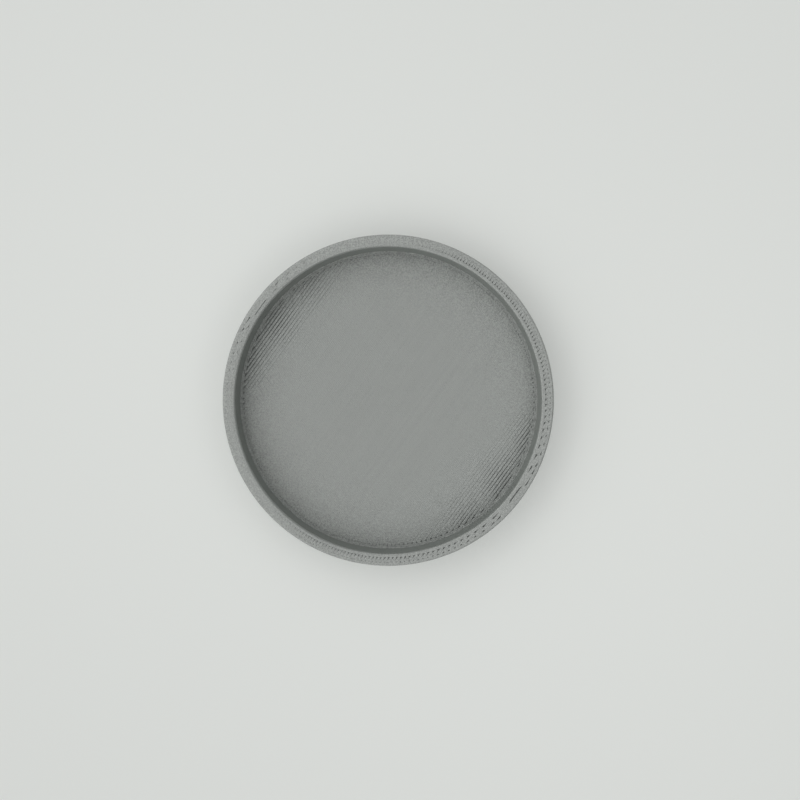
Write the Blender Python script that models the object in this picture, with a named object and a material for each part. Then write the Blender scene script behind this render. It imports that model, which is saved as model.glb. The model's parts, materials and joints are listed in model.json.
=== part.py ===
"""Round key tray: a printed plastic dish that stands on four rubber feet.

Each foot sits in a shallow seat under the dish and is stuck there with a disc
of double-sided tape. The dish's axis is the z axis, and the feet stand on the
plane z = 0. Lengths are in metres.
"""

import math

import bmesh
import bpy

# Dish
TRAY_DIAMETER = 0.0820
TRAY_HEIGHT = 0.0096
WALL_THICKNESS = 0.0030
FLOOR_THICKNESS = 0.0030
FLOOR_FILLET = 0.0003
RIM_OUTER_ROUND = 0.0002
RIM_INNER_ROUND = 0.0002
BASE_CHAMFER = 0.0006

# Rubber feet
FOOT_DIAMETER = 0.0080
FOOT_HEIGHT = 0.0020
FOOT_EDGE_ROUND = 0.0007
FOOT_DRAFT = 0.0002
FOOT_CIRCLE_DIAMETER = 0.0580

# Seats of the feet, under the dish, and the tape that holds each foot there
SEAT_DEPTH = 0.0016
SEAT_CLEARANCE = 0.0003
SEAT_MOUTH_CHAMFER = 0.0004
TAPE_THICKNESS = 0.0004
TAPE_MARGIN = 0.0004
FACE_GAP = 0.0003

# How finely round forms are divided
DISH_FACETS = 96
FOOT_FACETS = 32
ARC_STEPS = 4
CUT_OVERRUN = 0.0010
SMOOTH_BELOW = math.radians(35.0)

# Colours as red, green, blue, then roughness and metallic value
GREY_PLASTIC = ((0.280, 0.293, 0.280), 0.30, 0.0)
BLACK_RUBBER = ((0.022, 0.022, 0.023), 0.78, 0.0)
TAPE_FOAM = ((0.640, 0.640, 0.615), 0.70, 0.0)

# Levels, from the floor that the feet stand on
FOOT_TOP = FOOT_HEIGHT
TAPE_BOTTOM = FOOT_TOP + FACE_GAP
TAPE_TOP = TAPE_BOTTOM + TAPE_THICKNESS
SEAT_ROOF = TAPE_TOP + FACE_GAP
DISH_BOTTOM = SEAT_ROOF - SEAT_DEPTH
DISH_FLOOR = DISH_BOTTOM + FLOOR_THICKNESS
DISH_RIM = DISH_BOTTOM + TRAY_HEIGHT

# Places of the feet round the dish, as the name and the angle from +x
FOOT_PLACES = (
    ("rear_right", math.radians(45.0)),
    ("rear_left", math.radians(135.0)),
    ("front_left", math.radians(225.0)),
    ("front_right", math.radians(315.0)),
)


def clear_scene():
    for old in list(bpy.data.objects):
        bpy.data.objects.remove(old, do_unlink=True)


def finish(name, look):
    """A Principled material with the colour, roughness and metallic value of one finish."""
    colour, roughness, metallic = look
    material = bpy.data.materials.new(name)
    material.use_nodes = True
    shader = material.node_tree.nodes["Principled BSDF"]
    shader.inputs["Base Color"].default_value = (*colour, 1.0)
    shader.inputs["Roughness"].default_value = roughness
    shader.inputs["Metallic"].default_value = metallic
    material.diffuse_color = (*colour, 1.0)
    return material


def arc(centre, radius, start, end):
    """Points of a round from the start angle to the end angle, in degrees from +x, both ends included."""
    angles = [math.radians(start + (end - start) * step / ARC_STEPS) for step in range(ARC_STEPS + 1)]
    return [(centre[0] + radius * math.cos(a), centre[1] + radius * math.sin(a)) for a in angles]


def turned(name, profile, facets):
    """An object turned round the z axis from a profile of (radius, height) points that begins and ends on the axis."""
    shape = bmesh.new()
    points = [shape.verts.new((radius, 0.0, height)) for radius, height in profile]
    edges = [shape.edges.new(pair) for pair in zip(points, points[1:])]
    bmesh.ops.spin(
        shape,
        geom=points + edges,
        cent=(0.0, 0.0, 0.0),
        axis=(0.0, 0.0, 1.0),
        angle=math.tau,
        steps=facets,
        use_merge=True,
    )
    bmesh.ops.remove_doubles(shape, verts=shape.verts, dist=1e-7)
    bmesh.ops.recalc_face_normals(shape, faces=shape.faces)
    mesh = bpy.data.meshes.new(name)
    shape.to_mesh(mesh)
    shape.free()
    mesh.shade_smooth()
    mesh.set_sharp_from_angle(angle=SMOOTH_BELOW)
    thing = bpy.data.objects.new(name, mesh)
    bpy.context.scene.collection.objects.link(thing)
    return thing


def dish_profile():
    """Half section of the dish: floor, fillet, plumb inner wall, rim, outer wall and chamfered base."""
    outer = TRAY_DIAMETER / 2
    inner = outer - WALL_THICKNESS
    fillet = arc((inner - FLOOR_FILLET, DISH_FLOOR + FLOOR_FILLET), FLOOR_FILLET, -90.0, 0.0)
    rim_inside = arc((inner + RIM_INNER_ROUND, DISH_RIM - RIM_INNER_ROUND), RIM_INNER_ROUND, 180.0, 90.0)
    rim_outside = arc((outer - RIM_OUTER_ROUND, DISH_RIM - RIM_OUTER_ROUND), RIM_OUTER_ROUND, 90.0, 0.0)
    base = [(outer, DISH_BOTTOM + BASE_CHAMFER), (outer - BASE_CHAMFER, DISH_BOTTOM)]
    return [(0.0, DISH_FLOOR), *fillet, *rim_inside, *rim_outside, *base, (0.0, DISH_BOTTOM)]


def seat_profile():
    """Half section of the cutter for a foot's seat: a straight pocket with a chamfered mouth."""
    radius = FOOT_DIAMETER / 2 + SEAT_CLEARANCE
    mouth = radius + SEAT_MOUTH_CHAMFER
    below = DISH_BOTTOM - CUT_OVERRUN
    return [
        (0.0, SEAT_ROOF),
        (radius, SEAT_ROOF),
        (radius, DISH_BOTTOM + SEAT_MOUTH_CHAMFER),
        (mouth, DISH_BOTTOM),
        (mouth, below),
        (0.0, below),
    ]


def foot_profile():
    """Half section of a foot: flat top, slightly tapered side, rounded lower edge and flat tread."""
    radius = FOOT_DIAMETER / 2
    tread = radius - FOOT_DRAFT - FOOT_EDGE_ROUND
    lower_edge = arc((tread, FOOT_EDGE_ROUND), FOOT_EDGE_ROUND, 0.0, -90.0)
    return [(0.0, FOOT_TOP), (radius, FOOT_TOP), *lower_edge, (0.0, 0.0)]


def tape_profile():
    """Half section of a tape disc, which stays just inside the foot's edge."""
    radius = FOOT_DIAMETER / 2 - TAPE_MARGIN
    return [(0.0, TAPE_TOP), (radius, TAPE_TOP), (radius, TAPE_BOTTOM), (0.0, TAPE_BOTTOM)]


def set_at_foot(thing, angle):
    """Moves a turned piece from the axis to one foot's place."""
    reach = FOOT_CIRCLE_DIAMETER / 2
    thing.location = (reach * math.cos(angle), reach * math.sin(angle), 0.0)


def make_dish():
    """The printed dish, with a seat cut into its underside for each foot."""
    dish = turned("tray_dish", dish_profile(), DISH_FACETS)
    dish.data.materials.append(finish("grey_printed_plastic", GREY_PLASTIC))
    for place, angle in FOOT_PLACES:
        cutter = turned("seat_cutter_" + place, seat_profile(), FOOT_FACETS)
        set_at_foot(cutter, angle)
        cutter.hide_render = True
        cutter.display_type = "WIRE"
        cut = dish.modifiers.new("seat_" + place, "BOOLEAN")
        cut.operation = "DIFFERENCE"
        cut.solver = "EXACT"
        cut.object = cutter


def make_feet():
    """The four rubber feet and the tape disc over each of them."""
    rubber = finish("black_rubber", BLACK_RUBBER)
    foam = finish("tape_foam", TAPE_FOAM)
    for place, angle in FOOT_PLACES:
        foot = turned("foot_" + place, foot_profile(), FOOT_FACETS)
        foot.data.materials.append(rubber)
        set_at_foot(foot, angle)
        tape = turned("tape_" + place, tape_profile(), FOOT_FACETS)
        tape.data.materials.append(foam)
        set_at_foot(tape, angle)


clear_scene()
make_dish()
make_feet()
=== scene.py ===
import json

import bmesh
import bpy
import numpy as np
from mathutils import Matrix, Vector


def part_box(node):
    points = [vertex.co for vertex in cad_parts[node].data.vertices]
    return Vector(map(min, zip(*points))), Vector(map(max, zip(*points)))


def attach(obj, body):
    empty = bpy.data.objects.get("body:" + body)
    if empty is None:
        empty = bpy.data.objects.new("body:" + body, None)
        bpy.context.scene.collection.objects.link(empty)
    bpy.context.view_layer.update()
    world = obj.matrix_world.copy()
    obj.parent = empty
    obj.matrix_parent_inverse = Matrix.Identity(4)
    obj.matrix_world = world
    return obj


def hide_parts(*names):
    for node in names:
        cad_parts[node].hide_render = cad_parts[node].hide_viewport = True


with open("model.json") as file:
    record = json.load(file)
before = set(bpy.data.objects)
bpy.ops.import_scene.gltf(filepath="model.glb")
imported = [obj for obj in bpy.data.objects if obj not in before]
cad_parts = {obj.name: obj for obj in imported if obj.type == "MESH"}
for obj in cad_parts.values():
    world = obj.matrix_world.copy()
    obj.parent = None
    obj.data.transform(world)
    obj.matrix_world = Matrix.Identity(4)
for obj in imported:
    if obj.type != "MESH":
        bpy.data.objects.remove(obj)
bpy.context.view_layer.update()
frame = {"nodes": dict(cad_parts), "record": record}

# First layer. The tray is printed in strands of grey plastic, each 0.2 mm high. The lowest lie
# pressed flat on the print bed: a straight filling inside two loops at the tray's edge and two
# loops round the mouth of each foot's seat.
mm = 0.001
tray_low, tray_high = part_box("tray_dish")
tray_radius = tray_high.x
layer = 0.2 * mm
loop_width = 0.46 * mm
loop_pitch = 0.42 * mm
filling_angle = np.radians(53.6)
filling_way = np.array([np.cos(filling_angle), np.sin(filling_angle)])
filling_across = np.array([np.sin(filling_angle), -np.cos(filling_angle)])
bed_pitch = 0.45 * mm
bed_width = 0.475 * mm
bed_points = 12
shortest_stretch = 0.3 * mm
edge_inset = 0.6 * mm
edge_points = 256
feet = ("rear_right", "rear_left", "front_left", "front_right")
foot_boxes = [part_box("foot_" + place) for place in feet]
foot_centres = np.array([((low + high) / 2)[:2] for low, high in foot_boxes])
foot_radius = (foot_boxes[0][1].x - foot_boxes[0][0].x) / 2
seat_clearance = 0.3 * mm
seat_radius = foot_radius + seat_clearance
seat_flare = 0.4 * mm
seat_mouth = seat_radius + seat_flare
seat_points = 72
sharp_over = np.radians(60)
plastic_grey = (0.280, 0.294, 0.281)
cloud_size = 9 * mm
speck_size = 0.33 * mm
grain_size = 0.28 * mm
grain_depth = 0.08 * mm


class Wire:
    """One shader socket. Adding, subtracting or multiplying it puts in the Math node for that."""

    def __init__(self, socket):
        self.socket = socket

    def node(self, kind, settings=(), sockets=()):
        """Makes a node of a type: first its settings, then the values or wires of its inputs."""
        made = self.socket.id_data.nodes.new(kind)
        for name, value in dict(settings).items():
            setattr(made, name, value)
        for name, value in dict(sockets).items():
            if isinstance(value, Wire):
                self.socket.id_data.links.new(value.socket, made.inputs[name])
            else:
                made.inputs[name].default_value = value
        return made

    def maths(self, operation, first, second):
        return Wire(self.node("ShaderNodeMath", {"operation": operation}, {0: first, 1: second}).outputs[0])

    def __add__(self, other):
        return self.maths("ADD", self, other)

    def __sub__(self, other):
        return self.maths("SUBTRACT", self, other)

    def __rsub__(self, other):
        return self.maths("SUBTRACT", other, self)

    def __mul__(self, other):
        return self.maths("MULTIPLY", self, other)

    __radd__ = __add__
    __rmul__ = __mul__


def grain(place, size, detail=2.0):
    """Soft noise from 0 to 1 whose patches are about size across."""
    made = place.node("ShaderNodeTexNoise", {}, {"Vector": place, "Scale": 1.0 / size, "Detail": detail})
    return Wire(made.outputs["Fac"])


def grey_plastic(name, roughness=0.36, grey=plastic_grey, speckle=0.4):
    """Grey plastic as it leaves the nozzle. Its shade is 0.965, plus 0.05 of a slow cloud, 0.03 of
    the strand's own tone and 0.10 + speckle * r^4 of a fine speck less a half, r being the distance
    from the tray's axis over the tray's radius. The part of the speck that grows as r^4 is painted
    glint and shade, for light that grazes the surface's fine bumps near the wall. Its gloss varies
    with the speck and the strand, and a bumpy grain softens it."""
    material = bpy.data.materials.new(name)
    material.use_nodes = True
    shader = material.node_tree.nodes["Principled BSDF"]
    place = Wire(material.node_tree.nodes.new("ShaderNodeTexCoord").outputs["Object"])
    strand = Wire(place.node("ShaderNodeAttribute", {"attribute_name": "strand"}).outputs["Fac"])
    cloud = grain(place, cloud_size)
    speck = grain(place, speck_size)
    parts = place.node("ShaderNodeSeparateXYZ", {}, {0: place}).outputs
    x, y = Wire(parts["X"]), Wire(parts["Y"])
    outward = (x * x + y * y) * (1 / tray_radius**2)
    shade = 0.965 + 0.05 * cloud + 0.03 * strand + (0.10 + speckle * outward * outward) * (speck - 0.5)
    tinted = place.node(
        "ShaderNodeVectorMath", {"operation": "SCALE"}, {0: grey, "Scale": shade}
    ).outputs["Vector"]
    material.node_tree.links.new(tinted, shader.inputs["Base Color"])
    gloss = (roughness - 0.06) + 0.10 * speck + 0.05 * strand
    material.node_tree.links.new(gloss.socket, shader.inputs["Roughness"])
    bump = place.node(
        "ShaderNodeBump", {}, {"Height": grain(place, grain_size), "Strength": 1.0, "Distance": grain_depth}
    )
    material.node_tree.links.new(bump.outputs["Normal"], shader.inputs["Normal"])
    return material


def strand_section(width, fullness=2.6, crest=1):
    """Closed section of one laid strand as (across, up): the upper side at x is
    (1 - |x|^n)^(1/n) of the half height, n being its fullness, and the crest lies at 0. A pair of
    numbers is the fullness on the left and on the right. One layer down it has narrowed to four
    fifths of its width. crest = -1 turns it over."""
    x = np.array([-1.0, -0.97, -0.9, -0.78, -0.5, 0.0, 0.5, 0.78, 0.9, 0.97, 1.0])
    narrowed = 0.8
    left, right = np.broadcast_to(fullness, 2)
    power = np.where(x > 0, left, right)
    top = (1 - np.abs(x) ** power) ** (1 / power) - 1
    across = np.concatenate([x, [narrowed, -narrowed]]) * width / 2
    up = np.concatenate([top * layer / 2, [-layer, -layer]])
    section = np.stack([across, crest * up], -1)
    return section[::crest]


def carried(path, section, ring=False):
    """Carries a section along level paths: its first number is laid off to the left of the way
    that the path takes there, its second upwards. Points are (strand, along, around)."""
    if ring:
        way = np.roll(path, -1, axis=1) - np.roll(path, 1, axis=1)
    else:
        way = np.gradient(path, axis=1)
    left = np.stack([-way[..., 1], way[..., 0]], -1)
    left /= np.linalg.norm(left, axis=-1, keepdims=True)
    grid = np.repeat(path[:, :, None, :], section.shape[-2], axis=2)
    grid[..., :2] += section[..., 0][..., None] * left[:, :, None, :]
    grid[..., 2] += section[..., 1]
    return grid


def strands(name, grids, ring=False, tone=None):
    """A piece of closed strands from a grid (strand, along, around): neighbours in the grid share
    faces, the section closes on itself, and the path closes too, or has a face at each end. It
    rides on the root."""
    count, along, around = grids.shape[:3]
    corner = np.arange(count * along * around).reshape(count, along, around)
    here, ahead = (corner, np.roll(corner, -1, axis=1)) if ring else (corner[:, :-1], corner[:, 1:])
    beside, beside_ahead = np.roll(here, -1, axis=2), np.roll(ahead, -1, axis=2)
    quads = np.stack([here, ahead, beside_ahead, beside], -1).reshape(-1, 4)
    loops = quads.ravel()
    starts = np.arange(len(quads)) * 4
    if not ring:
        ends = np.concatenate([corner[:, 0], corner[:, -1, ::-1]])
        starts = np.concatenate([starts, len(loops) + np.arange(len(ends)) * around])
        loops = np.concatenate([loops, ends.ravel()])
    mesh = bpy.data.meshes.new(name)
    mesh.vertices.add(corner.size)
    mesh.vertices.foreach_set("co", grids.astype(np.float32).ravel())
    mesh.loops.add(len(loops))
    mesh.loops.foreach_set("vertex_index", loops.astype(np.int32))
    mesh.polygons.add(len(starts))
    mesh.polygons.foreach_set("loop_start", starts.astype(np.int32))
    mesh.update(calc_edges=True)
    mesh.shade_smooth()
    mesh.set_sharp_from_angle(angle=sharp_over)
    tone = np.random.default_rng(len(name)).random(count) if tone is None else tone
    each = np.broadcast_to(np.reshape(tone, (count, -1, 1)), (count, along, around)).astype(np.float32)
    mesh.attributes.new("strand", "FLOAT", "POINT").data.foreach_set("value", each.ravel())
    piece = bpy.data.objects.new(name, mesh)
    bpy.context.scene.collection.objects.link(piece)
    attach(piece, "root")
    return piece


def circle(radius, height, count, centre=(0.0, 0.0)):
    """Points round a level circle, anticlockwise: the centre plus radius times cosine and sine."""
    turn = np.linspace(0, 2 * np.pi, count, endpoint=False)
    return np.stack(
        [centre[0] + radius * np.cos(turn), centre[1] + radius * np.sin(turn), np.full(count, height)], -1
    )


def raster_lines(reach, pitch, first=0.0):
    """The parallel lines that fill a circle: the number of each, its offset and half its length,
    the root of reach squared less offset squared. Line 0 lies at the offset called first, and none
    comes nearer to the circle's edge than an eighth of the pitch."""
    limit = reach - pitch / 8
    lowest, highest = np.ceil((-limit - first) / pitch), np.floor((limit - first) / pitch)
    number = np.arange(lowest, highest + 1).astype(int)
    offset = first + number * pitch
    return number, offset, np.sqrt(reach**2 - offset**2)


def clear_stretches(offset, half, holes, hole_radius):
    """Cuts raster lines where they cross round holes: the offset, start and end of each stretch
    that is left. A line that misses a hole gets an empty cut at its far end."""
    middle, aside = holes @ filling_way, holes @ filling_across
    chord = np.sqrt(np.maximum(hole_radius**2 - (offset[:, None] - aside) ** 2, 0))
    cut_from = np.sort(np.where(chord > 0, middle - chord, half[:, None]), axis=1)
    cut_to = np.sort(np.where(chord > 0, middle + chord, half[:, None]), axis=1)
    start = np.concatenate([-half[:, None], cut_to], axis=1)
    end = np.concatenate([cut_from, half[:, None]], axis=1)
    kept = end - start > shortest_stretch
    return np.broadcast_to(offset[:, None], start.shape)[kept], start[kept], end[kept]


bed_reach = tray_radius - edge_inset - 2 * loop_pitch
_, offset, half = raster_lines(bed_reach, bed_pitch)
offset, start, end = clear_stretches(offset, half, foot_centres, seat_mouth + 2 * loop_pitch)
along = start[:, None] + (end - start)[:, None] * np.linspace(0, 1, bed_points)
flat = along[..., None] * filling_way + offset[:, None, None] * filling_across
path = np.concatenate([flat, np.full((*flat.shape[:2], 1), tray_low.z)], -1)
bed_filling = strands("bed_filling", carried(path, strand_section(bed_width, crest=-1)))
bed_filling.data.materials.append(grey_plastic("pressed_plastic", 0.30))

pressed_loop = strand_section(loop_width, crest=-1)
edge_radii = tray_radius - edge_inset - loop_width / 2 - loop_pitch * np.arange(2)
path = np.stack([circle(radius, tray_low.z, edge_points) for radius in edge_radii])
edge_loops = strands("bed_edge_loops", carried(path, pressed_loop, ring=True), ring=True)
edge_loops.data.materials.append(bed_filling.data.materials[0])

mouth_radii = seat_mouth + loop_width / 2 + loop_pitch * np.arange(2)
mouths = [(radius, centre) for centre in foot_centres for radius in mouth_radii]
path = np.stack([circle(radius, tray_low.z, seat_points, centre) for radius, centre in mouths])
mouth_loops = strands("seat_mouth_loops", carried(path, pressed_loop, ring=True), ring=True)
mouth_loops.data.materials.append(bed_filling.data.materials[0])


# Body of the print: the strands inside the floor and the wall, which show only as the dark bottom
# of the small holes in the top layers. It is the solid dish drawn in under its outermost strands.
strand_depth = 0.5 * mm
weld = 0.001 * mm
merged = bmesh.new()
merged.from_mesh(frame["nodes"]["tray_dish"].data)
bmesh.ops.remove_doubles(merged, verts=merged.verts, dist=weld)
body_mesh = bpy.data.meshes.new("dish_body")
merged.to_mesh(body_mesh)
merged.free()
points = np.empty(len(body_mesh.vertices) * 3, np.float32)
body_mesh.vertices.foreach_get("co", points)
outwards = np.empty_like(points)
body_mesh.vertex_normals.foreach_get("vector", outwards)
body_mesh.vertices.foreach_set("co", points - strand_depth * outwards)
body_mesh.update()
dish_body = bpy.data.objects.new("dish_body", body_mesh)
bpy.context.scene.collection.objects.link(dish_body)
dish_body.data.materials.append(grey_plastic("inner_plastic", 0.5))
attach(dish_body, "root")
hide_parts("tray_dish")


# Foot seats: each pocket's side is printed as a stack of loops above the first layer, the lowest
# of them stepped back to ease the mouth. They are part of the same print.
seat_depth = 1.6 * mm
seat_layers = round(seat_depth / layer)
wall_back = 2 * loop_pitch
groove = 0.035 * mm
bead = np.array([[1.0, 0.0], [0.2, 0.25], [0.0, 0.5], [0.2, 0.75]])


def layered_side(drawn_back, depth):
    """Closed section of a wall printed in layers, as (drawn back from the face, up): each layer's
    face is the bead, whose numbers are shares of the groove's depth and of the layer's height, and
    the back is plain. drawn_back sets each layer's face back."""
    count = len(drawn_back)
    bulge, share = np.tile(bead, (count, 1)).T
    drawn = np.repeat(drawn_back, len(bead)) + bulge * depth
    rise = (np.repeat(np.arange(count), len(bead)) + share) * layer
    back = [[drawn[-1] + groove, count * layer], [wall_back, count * layer], [wall_back, 0.0]]
    return np.concatenate([np.stack([drawn, rise], -1), back])


stepped = np.zeros(seat_layers - 1)
stepped[0] = seat_flare / 2
path = np.stack([circle(seat_radius, tray_low.z + layer, seat_points, centre) for centre in foot_centres])
side = layered_side(stepped, groove)[::-1] * [-1, 1]
seat_sides = strands("seat_sides", carried(path, side, ring=True), ring=True)
seat_sides.data.materials.append(grey_plastic("seat_plastic", 0.4))


# Outer wall: the faces of the stacked loops, each 0.2 mm high. They waver a little, the lowest
# three step in to break the edge, and where each loop starts and ends there is a seam.
layers = round((tray_high.z - tray_low.z) / layer)
edge_steps = np.array([1.0, 0.67, 0.33])
outer_waver = 0.008 * mm
outer_seam = 0.05 * mm
seam_turn = np.radians(189.4)
seam_wander = 0.10 * mm
bump_reach = 0.22 * mm
dip_reach = 0.20 * mm
dip_aside = 0.42 * mm
# Painted shade: the walls' grey is darker and a little greener than the rest of the plastic, for the shade
# on the upright walls and the green light bounced between them.
painted_shade_wall_grey = (0.230, 0.248, 0.232)
wall_points = 320
random = np.random.default_rng(11)


def seamed_turns(count, start):
    """Angles round the wall: start + 2 pi s - 0.8 sin(2 pi s), s being the share of the way round.
    They lie nine times closer at the start, which is the seam, than opposite it."""
    share = np.arange(count) / count
    return start + 2 * np.pi * share - 0.8 * np.sin(2 * np.pi * share)


turns = seamed_turns(wall_points, seam_turn)


def wavering(rows, amount):
    """How far each row's face stands back at each angle: amount * (1 + 0.35 w + step), never
    negative. w is a sum of waves, each sin(lobes * angle + drift) over the root of its lobes, whose
    drift wanders from row to row, and step is a random one for each row."""
    waves = np.zeros((len(turns), rows))
    for lobes in (2, 3, 5, 9, 14):
        drift = np.cumsum(random.normal(0, 0.15, rows)) + random.uniform(0, 2 * np.pi)
        waves += np.sin(lobes * turns[:, None] + drift) / lobes**0.5
    steps = random.normal(0, 0.35, rows)
    return amount * np.clip(1 + 0.35 * waves + steps, 0, None)


def seam(radius, rows, height):
    """The seam in a wall's face, as height * (0.6 dip - bump). The bump where each loop starts and
    the dip where it ends are bell curves exp(-x^2), and they wander sideways from row to row."""
    sideways = random.normal(0, seam_wander, rows)
    away = (np.angle(np.exp(1j * (turns - seam_turn))) * radius)[:, None] - sideways
    bump = np.exp(-((away / bump_reach) ** 2))
    dip = np.exp(-(((away - dip_aside) / dip_reach) ** 2))
    return height * (0.6 * dip - bump)


def layered_wall(name, radius, level, side, waver, inwards=False):
    """Carries the layered section round the wall, each row of its face set back by the waver.
    inwards turns it to face the tray's axis."""
    section = np.tile(side, (1, wall_points, 1, 1))
    face_rows = len(bead) * waver.shape[1]
    section[0, :, :face_rows, 0] += np.repeat(waver, len(bead), axis=1)
    if inwards:
        section = section[:, :, ::-1] * [-1, 1]
    round_wall = radius * np.stack([np.cos(turns), np.sin(turns)], -1)
    path = np.concatenate([round_wall, np.full((wall_points, 1), level)], -1)[None]
    return strands(name, carried(path, section, ring=True), ring=True)


drawn = np.zeros(layers - 1)
drawn[: len(edge_steps)] = edge_inset * edge_steps
waver = wavering(layers - 1, outer_waver) + seam(tray_radius, layers - 1, outer_seam)
outer_wall = layered_wall("outer_wall", tray_radius, tray_low.z, layered_side(drawn, groove), waver)
# Painted shade: the outer wall takes the darker, greener grey.
outer_wall.data.materials.append(grey_plastic("wall_plastic", grey=painted_shade_wall_grey, speckle=0.15))


# Inner wall: the same stack of loops seen from inside the tray, from the floor to the rim. Its
# grooves are finer, and its top layer is drawn back under the rim's innermost loop.
wall_thickness = 3.0 * mm
inner_groove = 0.005 * mm
inner_waver = 0.005 * mm
inner_seam = 0.07 * mm
top_drawn = 0.14 * mm
floor_level = next(m["pos_m"][2] for m in frame["record"]["mounts"] if m["name"] == "inside_floor")
inner_radius = tray_radius - wall_thickness
inner_layers = round((tray_high.z - floor_level) / layer)
drawn = np.zeros(inner_layers - 1)
drawn[-1] = top_drawn
side = layered_side(drawn, inner_groove)
waver = wavering(inner_layers - 1, inner_waver) + seam(inner_radius, inner_layers - 1, inner_seam)
inner_wall = layered_wall("inner_wall", inner_radius, floor_level, side, waver, inwards=True)
# Painted shade: the inner wall takes the same darker, greener grey.
inner_wall.data.materials.append(outer_wall.data.materials[0])


# Floor of the tray: the top layer of the base. Two loops follow the wall's foot, and inside them one
# strand is laid to and fro. It turns back at the loops in pairs and leaves a row of small holes
# there, and towards both sides of the circle the pairs draw apart.
wall_foot_pitch = 0.42 * mm
wall_foot_width = 1.06 * wall_foot_pitch
wall_foot_fullness = 3.4
wall_foot_inset = 0.12 * mm
wall_foot_points = 288
floor_pitch = 0.398 * mm
floor_width = 0.432 * mm
floor_fullness = 3.2
floor_first = 0.02 * mm
floor_gap = 0.30 * mm
floor_points = 26
turn_reach = 0.20 * mm
turn_shares = np.array([0.25, 0.5, 0.75])
unevenness = 0.004 * mm
least_apart = 0.002 * mm
most_apart = 0.155 * mm
patch_lengths = np.array([5.3, 4.1, 3.7, 6.2]) * mm
sag = 0.004 * mm
sag_lengths = np.array([7.0, 3.1, 2.3, 5.2]) * mm


def to_and_fro(number, offset, start, end, count, reach):
    """One path that goes along each even line from start to end and along each odd one back.
    Between two lines it swings out by reach times sin(pi f), f being the share of the way across.
    Gives the place along and across, and the lean: -1 on even lines, 1 on odd ones."""
    forth = number % 2 == 0
    first, last = np.where(forth, start, end), np.where(forth, end, start)
    side = np.where(forth, -1.0, 1.0)[:, None]
    line_along = first[:, None] + (last - first)[:, None] * np.linspace(0, 1, count)
    line_across = np.repeat(offset[:, None], count, axis=1)
    line_lean = side + 0 * line_along
    outward = reach * np.sign(last - first)[:, None] * np.sin(np.pi * turn_shares)
    turn_along = last[:, None] + (np.roll(first, -1) - last)[:, None] * turn_shares + outward
    turn_across = offset[:, None] + (np.roll(offset, -1) - offset)[:, None] * turn_shares
    turn_lean = side * (1 - 2 * turn_shares)
    pairs = ((line_along, turn_along), (line_across, turn_across), (line_lean, turn_lean))
    return [np.concatenate(pair, axis=1).ravel()[: -len(turn_shares)] for pair in pairs]


def laid(along, across, level):
    """Puts a path given along and across the filling onto the tray, as one strand."""
    flat = along[:, None] * filling_way + across[:, None] * filling_across
    return np.concatenate([flat, np.broadcast_to(level, (len(along), 1))], -1)[None]


def slanting_waves(along, across, lengths):
    """Two waves over the filling: sin(along / a + across / b) and sin(along / c - across / d) for
    the four lengths."""
    a, b, c, d = lengths
    return np.sin(along / a + across / b), np.sin(along / c - across / d)


wall_foot_radii = inner_radius - wall_foot_inset - wall_foot_pitch * np.arange(2)
path = np.stack([circle(radius, floor_level, wall_foot_points) for radius in wall_foot_radii])
section = strand_section(wall_foot_width, wall_foot_fullness)
foot_loops = strands("foot_loops", carried(path, section, ring=True), ring=True)
# The floor's speck grows strongly towards the wall: painted glint and shade where light grazes it.
foot_loops.data.materials.append(grey_plastic("floor_plastic", 0.30, speckle=2.2))

number, offset, half = raster_lines(wall_foot_radii[1] - floor_gap, floor_pitch, floor_first)
half = half - turn_reach
offset = offset + random.normal(0, unevenness, len(offset))
along, across, lean = to_and_fro(number, offset, -half, half, floor_points, turn_reach)
one_wave, other_wave = slanting_waves(along, across, patch_lengths)
patch = one_wave * other_wave
apart = least_apart + most_apart * np.abs(across / inner_radius) ** 9 * (1 + 0.8 * patch)
one_wave, other_wave = slanting_waves(along, across, sag_lengths)
dip = sag + sag * one_wave * other_wave
path = laid(along, across + lean * apart, (floor_level - dip)[:, None])
tone = np.repeat(random.random(len(offset)), floor_points + len(turn_shares))[: -len(turn_shares)]
section = strand_section(floor_width, floor_fullness)
floor_filling = strands("floor_filling", carried(path, section), tone=tone)
floor_filling.data.materials.append(foot_loops.data.materials[0])


# Rim: two loops inside, two outside and a filling laid to and fro between them. Where it turns it
# leaves a row of small holes at the loops. It lies a hair to the right and front of its place, so
# the inner holes are open on that side and closed on the other.
# Painted highlight: the rim's grey is lighter than the rest of the plastic, for the light that its flat top
# catches.
rim_grey_painted_highlight = (0.296, 0.310, 0.296)
rim_pitch = 0.40 * mm
rim_width = 0.425 * mm
rim_first = 0.01 * mm
rim_sink = 0.006 * mm
rim_reach = 0.17 * mm
rim_apart = 0.115 * mm
rim_fade = 0.45 * mm
inner_overlap = 0.13 * mm
outer_overlap = 0.12 * mm
short_points = 9
long_points = 24
edge_pitch = 0.36 * mm
edge_width = 1.10 * rim_pitch
edge_sink = 0.012 * mm
inner_edge = 0.25 * mm
outer_edge = 0.23 * mm
least_drawn_in = 0.06 * mm
left_drawn_in = 0.12 * mm
blob_turn = np.radians(197.2)
blob_height = 0.10 * mm
blob_reach = 0.3 * mm
slip = 0.02 * mm
slip_angle = np.radians(-28)
slip_way = np.array([np.cos(slip_angle), np.sin(slip_angle)])
slip_along, slip_across = slip_way @ filling_way, slip_way @ filling_across
full_side, sloping_side = 3.6, 1.15


def openness(along, across):
    """How open the filling lies at a place, from 0 to 1: 1.0 + 1.5 cos(angle from the slip's way),
    kept to 0 to 1, times 0.4 + 0.5 |cos(angle from the filling's way)|, so that it is less where
    the lines run along the rim."""
    away = np.hypot(along, across)
    towards = (along * slip_along + across * slip_across) / away
    return np.clip(1.0 + 1.5 * towards, 0, 1) * (0.4 + 0.5 * np.abs(along) / away)


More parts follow.
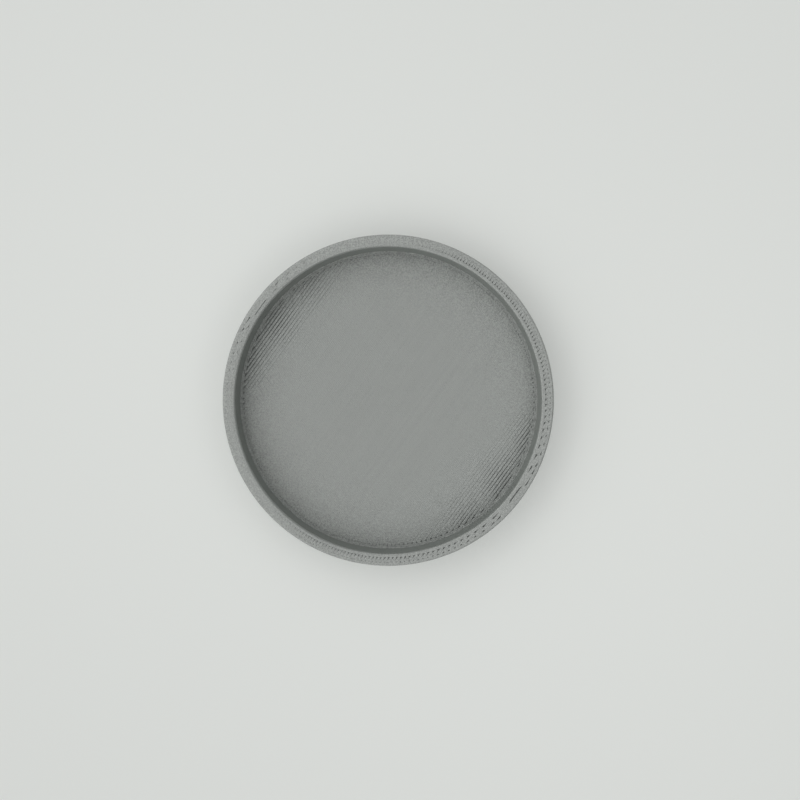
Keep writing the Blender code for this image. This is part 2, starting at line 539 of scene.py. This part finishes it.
inner_loops = inner_radius + inner_edge + edge_pitch * np.arange(2)
outer_loops = tray_radius - outer_edge - edge_pitch * np.arange(2)
radii = np.concatenate([inner_loops, outer_loops])[:, None]
level = np.full((len(radii), wall_points), tray_high.z)
path = np.stack([radii * np.cos(turns), radii * np.sin(turns), level], -1)
path[[0, 2], :, 2] -= edge_sink
from_blob = np.angle(np.exp(1j * (turns - blob_turn))) * inner_radius
blob = blob_height * np.exp(-((from_blob / blob_reach) ** 2))
drawn_in = least_drawn_in + left_drawn_in * np.clip(-np.cos(turns), 0, 1)
path[0, :, :2] *= 1 + ((drawn_in - blob) / inner_loops[0])[:, None]

# The innermost and outermost loops slope away to the rim's edges, the inner one more on the left
# and the outer one more on the right, and there they and the second inner loop also tilt down that
# way. The second loops are wider where the filling lies closed.
fullnesses = ((sloping_side, full_side), full_side, (full_side, sloping_side), full_side)
section = np.stack([strand_section(edge_width, fullness) for fullness in fullnesses])
section = np.repeat(section[:, None], wall_points, axis=1)
rightward = 1.5 * np.cos(turns + 0.15)[:, None]
section[0, ..., 1] *= 1.5 + np.maximum(-rightward, 0)
section[2, ..., 1] *= np.where(section[2, ..., 0] < 0, 1.6 + np.maximum(rightward, 0), 1.0)
tilt = 0.2 * rightward
inward = section[..., 0] + edge_width / 2
section[:2, ..., 1] += np.minimum(tilt, 0) * inward[:2]
section[2, ..., 1] -= np.maximum(tilt, 0) * (edge_width - inward[2])
loop_open = openness(np.cos(turns - filling_angle), -np.sin(turns - filling_angle))
section[[1, 3], ..., 0] *= 1.9 - 0.9 * loop_open[:, None]
rim_loops = strands("rim_loops", carried(path, section, ring=True), ring=True)
# Painted highlight: the rim's loops and filling take the lighter grey, and their speck grows into painted
# glint towards the outer edge.
rim_loops.data.materials.append(grey_plastic("rim_plastic", 0.24, rim_grey_painted_highlight, speckle=1.0))

rim_slip = slip * np.append(slip_way, 0)
end_inset = rim_reach + rim_width / 2
inner_stop = inner_loops[1] + rim_pitch / 2 + end_inset - inner_overlap
outer_stop = outer_loops[1] - rim_pitch / 2 - end_inset + outer_overlap
number, offset, far = raster_lines(outer_stop, floor_pitch, rim_first)
near = np.sqrt(np.maximum(inner_stop**2 - offset**2, 0))
split, lower, upper = np.abs(offset) < inner_stop, offset >= inner_stop, offset <= -inner_stop
runs = {
    "right": (number[split], offset[split], near[split], far[split], short_points),
    "left": (number[split], offset[split], -near[split], -far[split], short_points),
    "lower": (number[lower], offset[lower], -far[lower], far[lower], long_points),
    "upper": (number[upper], offset[upper], -far[upper], far[upper], long_points),
}
for side_name, run in runs.items():
    along, across, lean = to_and_fro(*run, rim_reach)
    open_side = openness(along, across)
    into_ring = (np.hypot(along, across) - inner_stop) / rim_fade
    apart = rim_apart * open_side * np.exp(-np.clip(into_ring, 0, None))
    path = laid(along, across + lean * apart, tray_high.z - rim_sink) + rim_slip
    section = np.tile(strand_section(rim_width, floor_fullness), (1, len(along), 1, 1))
    section[..., 0] *= 1.25 - 0.25 * open_side[:, None]
    rim_filling = strands("rim_filling_" + side_name, carried(path, section))
    rim_filling.data.materials.append(rim_loops.data.materials[0])


# Tape discs: white foam tape, sticky on both sides, one between each foot and its seat. Their
# solids have the true shape, so they keep it and get a foam finish.
foam_white = (0.66, 0.66, 0.63)
cell_size = 0.08 * mm
cell_depth = 0.02 * mm


def foam_tape():
    """White closed-cell foam: tiny cells in its surface, and hardly any gloss."""
    material = bpy.data.materials.new("tape_foam")
    material.use_nodes = True
    shader = material.node_tree.nodes["Principled BSDF"]
    place = Wire(material.node_tree.nodes.new("ShaderNodeTexCoord").outputs["Object"])
    cells = grain(place, cell_size)
    tinted = place.node(
        "ShaderNodeVectorMath", {"operation": "SCALE"}, {0: foam_white, "Scale": 0.9 + 0.12 * cells}
    ).outputs["Vector"]
    material.node_tree.links.new(tinted, shader.inputs["Base Color"])
    bump = place.node("ShaderNodeBump", {}, {"Height": cells, "Strength": 0.5, "Distance": cell_depth})
    material.node_tree.links.new(bump.outputs["Normal"], shader.inputs["Normal"])
    shader.inputs["Roughness"].default_value = 0.75
    return material


tape_material = foam_tape()
for place in feet:
    tape = frame["nodes"]["tape_" + place]
    tape.data.materials.clear()
    tape.data.materials.append(tape_material)


# Rubber feet: four moulded black discs, 8 mm across and 2 mm high, slightly tapered, with a
# rounded lower edge and a flat tread, pressed onto their tape.
foot_height = foot_boxes[0][1].z
foot_edge = 0.7 * mm
foot_taper = 0.2 * mm
foot_top_edge = 0.03 * mm
foot_core = 0.002 * mm
foot_points = 96
rubber_black = (0.024, 0.024, 0.025)
pore_size = 0.10 * mm
pore_depth = 0.02 * mm
dust_size = 1.5 * mm


def black_rubber():
    """Matt black rubber with a fine moulded grain and a little pale dust in it."""
    material = bpy.data.materials.new("black_rubber")
    material.use_nodes = True
    shader = material.node_tree.nodes["Principled BSDF"]
    place = Wire(material.node_tree.nodes.new("ShaderNodeTexCoord").outputs["Object"])
    pores = grain(place, pore_size, 4.0)
    dust = grain(place, dust_size, 4.0)
    shade = 0.8 + 0.3 * pores + 0.4 * dust
    tinted = place.node(
        "ShaderNodeVectorMath", {"operation": "SCALE"}, {0: rubber_black, "Scale": shade}
    ).outputs["Vector"]
    material.node_tree.links.new(tinted, shader.inputs["Base Color"])
    material.node_tree.links.new((0.66 + 0.2 * dust).socket, shader.inputs["Roughness"])
    bump = place.node("ShaderNodeBump", {}, {"Height": pores, "Strength": 0.4, "Distance": pore_depth})
    material.node_tree.links.new(bump.outputs["Normal"], shader.inputs["Normal"])
    return material


def foot_section():
    """Half section of a foot as (drawn in from its radius, up): up the tapered side from the
    quarter round at the tread, over the top edge and back along a hairline round the axis."""
    turn = np.radians(np.linspace(-90, 0, 9))
    tread = foot_taper + foot_edge
    round_edge = np.stack([tread - foot_edge * np.cos(turn), foot_edge + foot_edge * np.sin(turn)], -1)
    core = foot_radius - foot_core
    top_edge = [[foot_top_edge, foot_height - foot_top_edge], [2 * foot_top_edge, foot_height]]
    return np.concatenate([round_edge, top_edge, [[core, foot_height], [core, 0.0]]])


rubber = black_rubber()
for place, centre in zip(feet, foot_centres):
    path = circle(foot_radius, 0.0, foot_points, centre)[None]
    foot = strands("rubber_foot_" + place, carried(path, foot_section(), ring=True), ring=True)
    foot.data.materials.append(rubber)
    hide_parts("foot_" + place)


# Table: a plain pale top, matt, only to carry the tray and its shadow. It lets about a third of its
# light through, which softens the shadow and lights the tray from below, and from below it is clear.
table_half = 0.6
table_colour = (0.764, 0.785, 0.760, 1)
table_through = 0.35
table_mesh = bpy.data.meshes.new("table")
corners = np.array([(-1, -1, 0), (1, -1, 0), (1, 1, 0), (-1, 1, 0)]) * table_half
table_mesh.from_pydata(corners.tolist(), [], [(0, 1, 2, 3)])
table = bpy.data.objects.new("table", table_mesh)
bpy.context.scene.collection.objects.link(table)
table_material = bpy.data.materials.new("pale_table")
table_material.use_nodes = True
shader = table_material.node_tree.nodes["Principled BSDF"]
shader.inputs["Base Color"].default_value = table_colour
shader.inputs["Roughness"].default_value = 0.9
top = Wire(shader.outputs["BSDF"])
glow = top.node("ShaderNodeBsdfTranslucent", {}, {"Color": table_colour}).outputs["BSDF"]
sheet = top.node("ShaderNodeMixShader", {}, {0: table_through, 1: top, 2: Wire(glow)}).outputs["Shader"]
under = top.node("ShaderNodeNewGeometry").outputs["Backfacing"]
clear = top.node("ShaderNodeBsdfTransparent").outputs["BSDF"]
seen = top.node("ShaderNodeMixShader", {}, {0: Wire(under), 1: Wire(sheet), 2: Wire(clear)})
ending = table_material.node_tree.nodes["Material Output"]
table_material.node_tree.links.new(seen.outputs["Shader"], ending.inputs["Surface"])
table_mesh.materials.append(table_material)


# Camera: 198 mm over the rim, behind and to the right of the tray's middle, and leaning about a
# degree, so that the point straight below it isn't the middle of the image.
image_width = 800
rim_scale = 0.2471 * mm
straight_down = np.array([408.0, 384.0])
rim_centre = np.array([387.97, 400.91])
scene = bpy.context.scene
scene.view_settings.view_transform = "Standard"
camera_data = bpy.data.cameras.new("camera")
camera_data.sensor_width = 36.0
camera_data.lens = 36.0
camera_data.clip_start = 0.01
camera = bpy.data.objects.new("camera", camera_data)
scene.collection.objects.link(camera)
camera_rise = image_width * rim_scale * camera_data.lens / camera_data.sensor_width
aside = (straight_down - rim_centre) * rim_scale * [1, -1]
camera.location = (aside[0], aside[1], tray_high.z + camera_rise)
lean_sideways, lean_back = np.arctan((straight_down - image_width / 2) / image_width)
camera.rotation_euler = (lean_back, lean_sideways, 0.0)
scene.camera = camera


# Light: a pale room, brightest half way up and on the left, which the camera sees as a plain pale
# backdrop, and a ring of lamps round the camera's view, 136 mm over the rim. The lamps on the left
# and right are the strongest.
room_level, less_to_right, less_to_rear = 1.24, 0.85, 0.05
backdrop_level = 0.75
ring_radius = 88 * mm
ring_rise = 136 * mm
lamp_count = 16
lamp_size = 32 * mm
lamp_power = 0.003
strongest_turn = np.radians(155)
world = bpy.data.worlds.new("room")
world.use_nodes = True
scene.world = world
room_light = world.node_tree.nodes["Background"]
room_light.inputs["Color"].default_value = (1, 1, 1, 1)
way = Wire(world.node_tree.nodes.new("ShaderNodeTexCoord").outputs["Generated"])
parts = way.node("ShaderNodeSeparateXYZ", {}, {0: way}).outputs
rightward, rearward, upward = Wire(parts["X"]), Wire(parts["Y"]), Wire(parts["Z"])
half_way_up = 4.0 * upward * upward * (1.0 - upward * upward)
room = half_way_up * (room_level - less_to_right * rightward - less_to_rear * rearward)
by_camera = Wire(way.node("ShaderNodeLightPath").outputs["Is Camera Ray"])
strength = room + by_camera * (backdrop_level - room)
world.node_tree.links.new(strength.socket, room_light.inputs["Strength"])
for count in range(lamp_count):
    azimuth = 2 * np.pi * count / lamp_count
    lamp_data = bpy.data.lights.new("ring_lamp", "AREA")
    lamp_data.shape = "DISK"
    lamp_data.size = lamp_size
    lamp_data.energy = lamp_power * (1 + np.cos(2 * (azimuth - strongest_turn)))
    lamp = bpy.data.objects.new("ring_lamp", lamp_data)
    scene.collection.objects.link(lamp)
    lamp.location = (
        aside[0] + ring_radius * np.cos(azimuth),
        aside[1] + ring_radius * np.sin(azimuth),
        tray_high.z + ring_rise,
    )
    lamp.visible_camera = False
